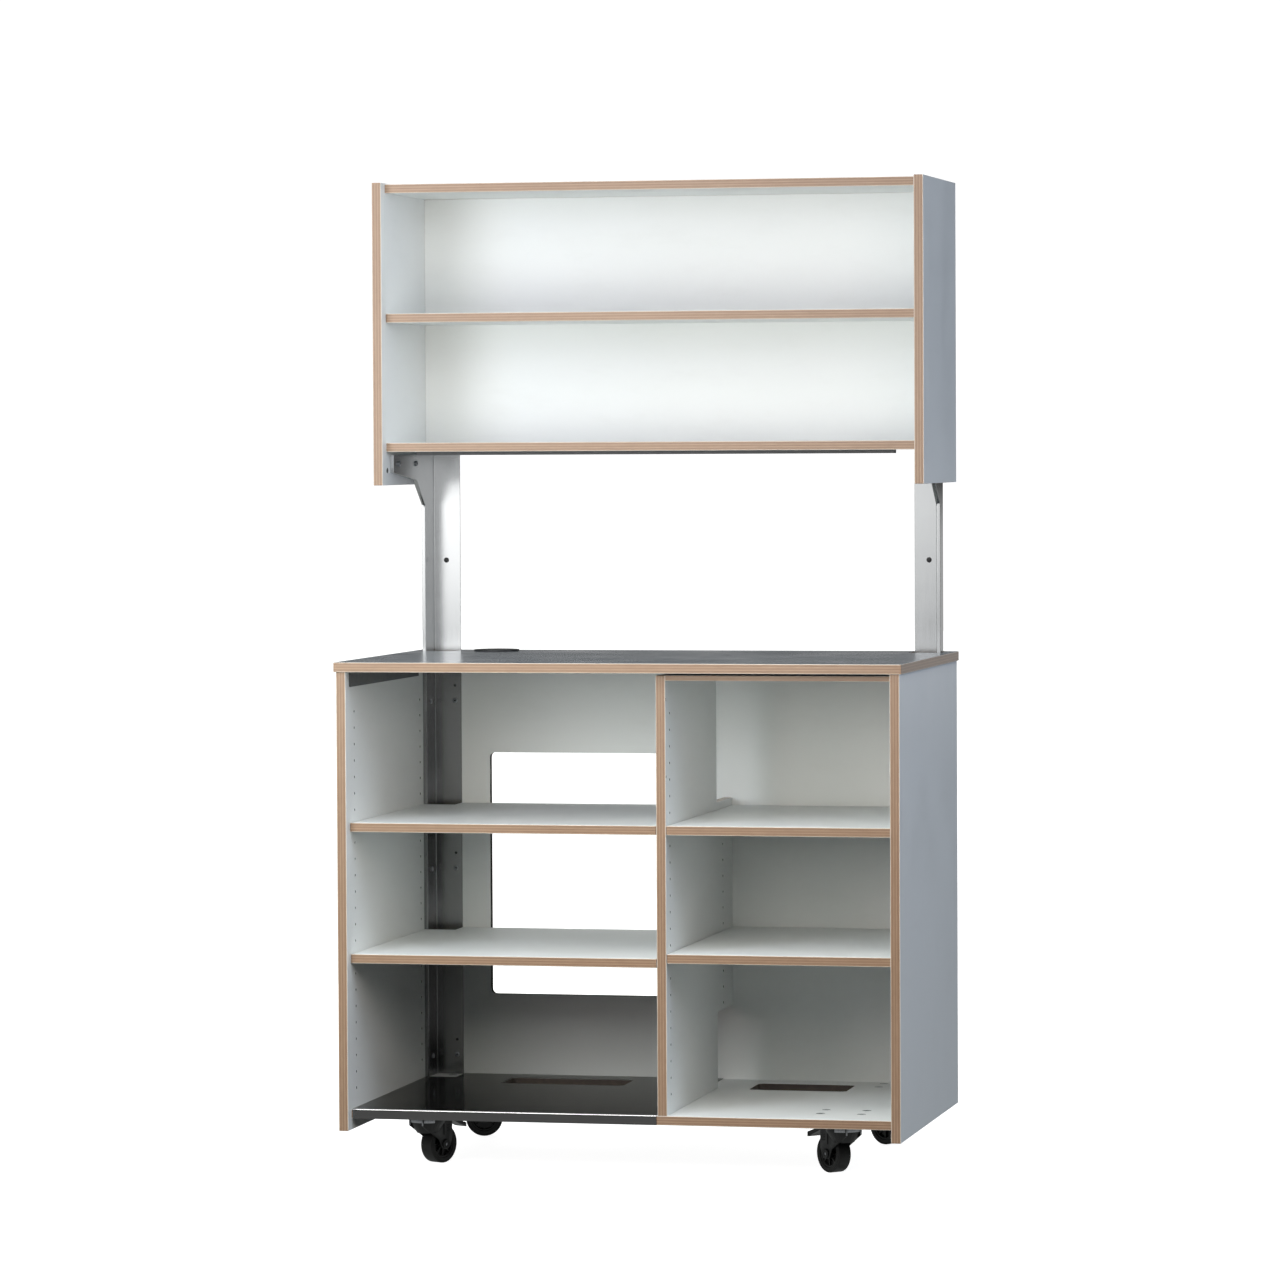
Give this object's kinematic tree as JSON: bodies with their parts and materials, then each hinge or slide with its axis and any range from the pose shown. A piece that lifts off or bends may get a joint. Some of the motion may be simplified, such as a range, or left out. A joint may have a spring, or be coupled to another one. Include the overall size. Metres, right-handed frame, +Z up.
{
  "type": "kitchen cabinet",
  "caption": "Mobile kitchen cabinet on swivel castors: shelved base with worktop and cable outlet, steel uprights carrying an open shelf cabinet.",
  "frame": {"origin": "on the floor, below the middle of the cabinet's outline", "axes": "+Z up, +X to the right seen from the front, +Y to the back"},
  "size_m": [1.116, 0.674, 1.932],
  "materials": {
    "laminated_plywood": "white laminate faces, bare plywood edges",
    "worktop_laminate": "satin blue-grey laminate, bare plywood edges",
    "tray_steel": "brushed stainless steel",
    "dark_steel": "dark grey coated metal",
    "upright_steel": "brushed stainless steel",
    "zinc_fasteners": "bright zinc plated",
    "beech_dowels": "plain beech",
    "black_plastic": "moulded black",
    "zinc_plate": "zinc plated pressing",
    "black_fork": "moulded black",
    "castor_tyre": "black rubber",
    "castor_hub": "moulded black"
  },
  "bodies": {
    "cabinet": {"left_side_panel": "laminated_plywood", "right_side_panel": "laminated_plywood", "divider_panel": "laminated_plywood", "base_panel": "laminated_plywood", "base_back_panel": "laminated_plywood", "bay_top_panel": "laminated_plywood", "upper_left_shelf": "laminated_plywood", "lower_left_shelf": "laminated_plywood", "upper_right_shelf": "laminated_plywood", "lower_right_shelf": "laminated_plywood", "upper_left_side": "laminated_plywood", "upper_right_side": "laminated_plywood", "upper_bottom_panel": "laminated_plywood", "upper_top_panel": "laminated_plywood", "upper_middle_shelf": "laminated_plywood", "upper_back_panel": "laminated_plywood", "worktop": "worktop_laminate", "floor_tray": "tray_steel", "worktop_angle": "dark_steel", "under_panel_rail": "dark_steel", "left_upright": "upright_steel", "right_upright": "upright_steel", "upright_screws": "zinc_fasteners", "arm_bolts": "zinc_fasteners", "castor_bolts": "zinc_fasteners", "shelf_pins": "zinc_fasteners", "panel_dowels": "beech_dowels", "cable_sleeve": "black_plastic", "front_left_castor_plate": "zinc_plate", "front_left_kingpin": "zinc_fasteners", "front_right_castor_plate": "zinc_plate", "front_right_kingpin": "zinc_fasteners", "rear_left_castor_plate": "zinc_plate", "rear_left_kingpin": "zinc_fasteners", "rear_right_castor_plate": "zinc_plate", "rear_right_kingpin": "zinc_fasteners"},
    "cap": {"cable_cap": "black_plastic"},
    "front_left_swivel": {"front_left_fork": "black_fork", "front_left_axle": "zinc_fasteners"},
    "front_left_wheel": {"front_left_tyre": "castor_tyre", "front_left_hub": "castor_hub"},
    "front_left_pedal": {"front_left_brake_pedal": "black_plastic"},
    "front_right_swivel": {"front_right_fork": "black_fork", "front_right_axle": "zinc_fasteners"},
    "front_right_wheel": {"front_right_tyre": "castor_tyre", "front_right_hub": "castor_hub"},
    "front_right_pedal": {"front_right_brake_pedal": "black_plastic"},
    "rear_left_swivel": {"rear_left_fork": "black_fork", "rear_left_axle": "zinc_fasteners"},
    "rear_left_wheel": {"rear_left_tyre": "castor_tyre", "rear_left_hub": "castor_hub"},
    "rear_right_swivel": {"rear_right_fork": "black_fork", "rear_right_axle": "zinc_fasteners"},
    "rear_right_wheel": {"rear_right_tyre": "castor_tyre", "rear_right_hub": "castor_hub"}
  },
  "joints": [
    {"name": "front_left_swivel_turn", "type": "hinge", "parent": "cabinet", "child": "front_left_swivel", "pos_m": [-0.416, -0.183, 0.09], "axis": [0, 0, 1], "continuous": true},
    {"name": "front_left_wheel_roll", "type": "hinge", "parent": "front_left_swivel", "child": "front_left_wheel", "pos_m": [-0.40051, -0.15386, 0.0375], "axis": [-0.8829, 0.4695, 0], "continuous": true},
    {"name": "front_left_brake_press", "type": "hinge", "parent": "front_left_swivel", "child": "front_left_pedal", "pos_m": [-0.39581, -0.14503, 0.085], "axis": [-0.8829, 0.4695, 0], "range_deg": [0, 10], "stiffness_Nm_per_rad": 0.6, "springref_deg": -11.46},
    {"name": "front_right_swivel_turn", "type": "hinge", "parent": "cabinet", "child": "front_right_swivel", "pos_m": [0.416, -0.183, 0.09], "axis": [0, 0, 1], "continuous": true},
    {"name": "front_right_wheel_roll", "type": "hinge", "parent": "front_right_swivel", "child": "front_right_wheel", "pos_m": [0.39187, -0.16049, 0.0375], "axis": [-0.682, -0.7314, 0], "continuous": true},
    {"name": "front_right_brake_press", "type": "hinge", "parent": "front_right_swivel", "child": "front_right_pedal", "pos_m": [0.38455, -0.15367, 0.085], "axis": [-0.682, -0.7314, 0], "range_deg": [0, 10], "stiffness_Nm_per_rad": 0.6, "springref_deg": -11.46},
    {"name": "rear_left_swivel_turn", "type": "hinge", "parent": "cabinet", "child": "rear_left_swivel", "pos_m": [-0.449, 0.269, 0.09], "axis": [0, 0, 1], "continuous": true},
    {"name": "rear_left_wheel_roll", "type": "hinge", "parent": "rear_left_swivel", "child": "rear_left_wheel", "pos_m": [-0.41685, 0.27642, 0.0375], "axis": [-0.225, 0.9744, 0], "continuous": true},
    {"name": "rear_right_swivel_turn", "type": "hinge", "parent": "cabinet", "child": "rear_right_swivel", "pos_m": [0.449, 0.269, 0.09], "axis": [0, 0, 1], "continuous": true},
    {"name": "rear_right_wheel_roll", "type": "hinge", "parent": "rear_right_swivel", "child": "rear_right_wheel", "pos_m": [0.42042, 0.2855, 0.0375], "axis": [-0.5, -0.866, 0], "continuous": true},
    {"name": "cap_turn", "type": "hinge", "parent": "cabinet", "child": "cap", "pos_m": [-0.386, 0.28, 0.992], "axis": [0, 0, 1], "continuous": true}
  ]
}
